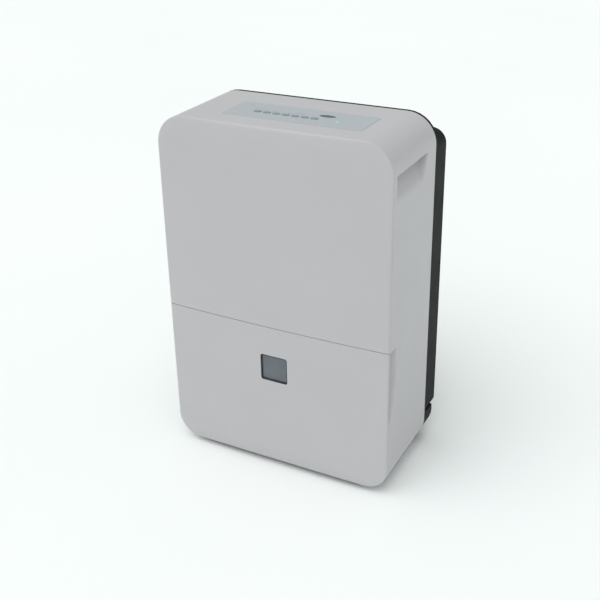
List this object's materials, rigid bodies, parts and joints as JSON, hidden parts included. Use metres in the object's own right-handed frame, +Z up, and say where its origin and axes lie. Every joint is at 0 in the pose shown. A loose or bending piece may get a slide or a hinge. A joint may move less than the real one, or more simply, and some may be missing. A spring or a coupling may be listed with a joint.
{
  "type": "dehumidifier",
  "caption": "Upright compressor dehumidifier with a pull-out water bucket, a top control panel, hand grips, a rear filter and swivel casters.",
  "frame": {"origin": "on the floor under the middle of the body", "axes": "+Z up, the front faces -Y, +X is the right-hand side seen from the front"},
  "size_m": [0.39, 0.222, 0.5868],
  "materials": {
    "white_abs": "satin white ABS",
    "charcoal_abs": "fine-grained dark grey ABS",
    "panel_blue_grey": "pale blue-grey film over ABS",
    "smoked_lens": "smoked display lens",
    "green_led": "green indicator lens",
    "pale_led": "clear indicator lens",
    "circuit_board": "green solder mask",
    "inner_grey_abs": "unpainted inner moulding",
    "inner_white_abs": "unpainted inner moulding",
    "coil_aluminium": "stamped aluminium fins",
    "black_steel": "black painted steel",
    "black_rubber": "soft black rubber",
    "copper_tube": "drawn copper tube",
    "motor_steel": "zinc-plated steel",
    "bright_steel": "bright steel",
    "switch_black": "black nylon",
    "clear_hose": "milky PVC hose",
    "filter_net": "woven nylon net",
    "tub_plastic": "milky polypropylene",
    "window_lens": "tinted window",
    "float_foam": "closed-cell foam",
    "button_grey": "grey key cap",
    "caster_black": "black nylon",
    "caster_tyre": "hard rubber tread"
  },
  "bodies": {
    "cabinet": {"cabinet_top": "white_abs", "cabinet_right_side": "white_abs", "cabinet_left_side": "white_abs", "front_cover": "white_abs", "rear_cover": "charcoal_abs", "base_pan": "charcoal_abs", "right_grip_cup": "white_abs", "left_grip_cup": "white_abs", "outlet_grille": "white_abs", "control_panel": "panel_blue_grey", "display_window": "smoked_lens", "power_led": "green_led", "indicator_leds": "pale_led", "control_board": "circuit_board", "bucket_bay": "inner_grey_abs", "mid_deck": "inner_grey_abs", "drip_tray": "inner_white_abs", "evaporator": "coil_aluminium", "condenser": "coil_aluminium", "compressor": "black_steel", "compressor_grommets": "black_rubber", "discharge_pipe": "copper_tube", "suction_pipe": "copper_tube", "capillary_tube": "copper_tube", "fan_housing": "inner_white_abs", "fan_motor": "motor_steel", "run_capacitor": "motor_steel", "electrical_box": "inner_grey_abs", "humidity_sensor": "inner_white_abs", "float_switch": "switch_black", "drain_spout": "switch_black", "drain_hose": "clear_hose", "cord_gland": "black_rubber", "rear_screws": "bright_steel"},
    "bucket": {"bucket_front": "white_abs", "bucket_tub": "tub_plastic", "bucket_window": "window_lens", "window_gasket": "black_rubber"},
    "bucket_handle": {"bucket_handle": "tub_plastic"},
    "float": {"float_arm": "inner_white_abs", "float_block": "float_foam"},
    "filter": {"filter_frame": "charcoal_abs", "filter_mesh": "filter_net"},
    "fan": {"fan_wheel": "inner_white_abs", "fan_shaft": "bright_steel"},
    "button_power": {"button_power": "button_grey"},
    "button_mode": {"button_mode": "button_grey"},
    "button_fan": {"button_fan": "button_grey"},
    "button_down": {"button_down": "button_grey"},
    "button_up": {"button_up": "button_grey"},
    "button_timer": {"button_timer": "button_grey"},
    "button_pump": {"button_pump": "button_grey"},
    "caster_fl": {"caster_fork_fl": "caster_black"},
    "wheel_fl": {"caster_wheel_fl": "caster_tyre"},
    "caster_fr": {"caster_fork_fr": "caster_black"},
    "wheel_fr": {"caster_wheel_fr": "caster_tyre"},
    "caster_rl": {"caster_fork_rl": "caster_black"},
    "wheel_rl": {"caster_wheel_rl": "caster_tyre"},
    "caster_rr": {"caster_fork_rr": "caster_black"},
    "wheel_rr": {"caster_wheel_rr": "caster_tyre"}
  },
  "joints": [
    {"name": "bucket_slide", "type": "slide", "parent": "cabinet", "child": "bucket", "axis": [0, -1, 0], "range_m": [0, 0.12]},
    {"name": "bucket_handle_pivot", "type": "hinge", "parent": "bucket", "child": "bucket_handle", "pos_m": [0, -0.049, 0.208], "axis": [-1, 0, 0], "range_deg": [0, 90]},
    {"name": "float_pivot", "type": "hinge", "parent": "bucket", "child": "float", "pos_m": [0.125, -0.017, 0.196], "axis": [-1, 0, 0], "range_deg": [0, 18]},
    {"name": "filter_slide", "type": "slide", "parent": "cabinet", "child": "filter", "axis": [0, 0, 1], "range_m": [0, 0.45]},
    {"name": "fan_spin", "type": "hinge", "parent": "cabinet", "child": "fan", "pos_m": [0.035, -0.02, 0.408], "axis": [0, 1, 0], "continuous": true},
    {"name": "button_power_press", "type": "slide", "parent": "cabinet", "child": "button_power", "axis": [0, 0, -1], "range_m": [0, 0.001], "stiffness_N_per_m": 400, "springref_m": -0.0005},
    {"name": "button_mode_press", "type": "slide", "parent": "cabinet", "child": "button_mode", "axis": [0, 0, -1], "range_m": [0, 0.001], "stiffness_N_per_m": 400, "springref_m": -0.0005},
    {"name": "button_fan_press", "type": "slide", "parent": "cabinet", "child": "button_fan", "axis": [0, 0, -1], "range_m": [0, 0.001], "stiffness_N_per_m": 400, "springref_m": -0.0005},
    {"name": "button_down_press", "type": "slide", "parent": "cabinet", "child": "button_down", "axis": [0, 0, -1], "range_m": [0, 0.001], "stiffness_N_per_m": 400, "springref_m": -0.0005},
    {"name": "button_up_press", "type": "slide", "parent": "cabinet", "child": "button_up", "axis": [0, 0, -1], "range_m": [0, 0.001], "stiffness_N_per_m": 400, "springref_m": -0.0005},
    {"name": "button_timer_press", "type": "slide", "parent": "cabinet", "child": "button_timer", "axis": [0, 0, -1], "range_m": [0, 0.001], "stiffness_N_per_m": 400, "springref_m": -0.0005},
    {"name": "button_pump_press", "type": "slide", "parent": "cabinet", "child": "button_pump", "axis": [0, 0, -1], "range_m": [0, 0.001], "stiffness_N_per_m": 400, "springref_m": -0.0005},
    {"name": "caster_swivel_fl", "type": "hinge", "parent": "cabinet", "child": "caster_fl", "pos_m": [-0.118, -0.064, 0.035], "axis": [0, 0, 1], "continuous": true},
    {"name": "wheel_spin_fl", "type": "hinge", "parent": "caster_fl", "child": "wheel_fl", "pos_m": [-0.118, -0.056, 0.013], "axis": [1, 0, 0], "continuous": true},
    {"name": "caster_swivel_fr", "type": "hinge", "parent": "cabinet", "child": "caster_fr", "pos_m": [0.118, -0.064, 0.035], "axis": [0, 0, 1], "continuous": true},
    {"name": "wheel_spin_fr", "type": "hinge", "parent": "caster_fr", "child": "wheel_fr", "pos_m": [0.118, -0.056, 0.013], "axis": [1, 0, 0], "continuous": true},
    {"name": "caster_swivel_rl", "type": "hinge", "parent": "cabinet", "child": "caster_rl", "pos_m": [-0.118, 0.054, 0.035], "axis": [0, 0, 1], "continuous": true},
    {"name": "wheel_spin_rl", "type": "hinge", "parent": "caster_rl", "child": "wheel_rl", "pos_m": [-0.118, 0.062, 0.013], "axis": [1, 0, 0], "continuous": true},
    {"name": "caster_swivel_rr", "type": "hinge", "parent": "cabinet", "child": "caster_rr", "pos_m": [0.118, 0.054, 0.035], "axis": [0, 0, 1], "continuous": true},
    {"name": "wheel_spin_rr", "type": "hinge", "parent": "caster_rr", "child": "wheel_rr", "pos_m": [0.118, 0.062, 0.013], "axis": [1, 0, 0], "continuous": true}
  ]
}
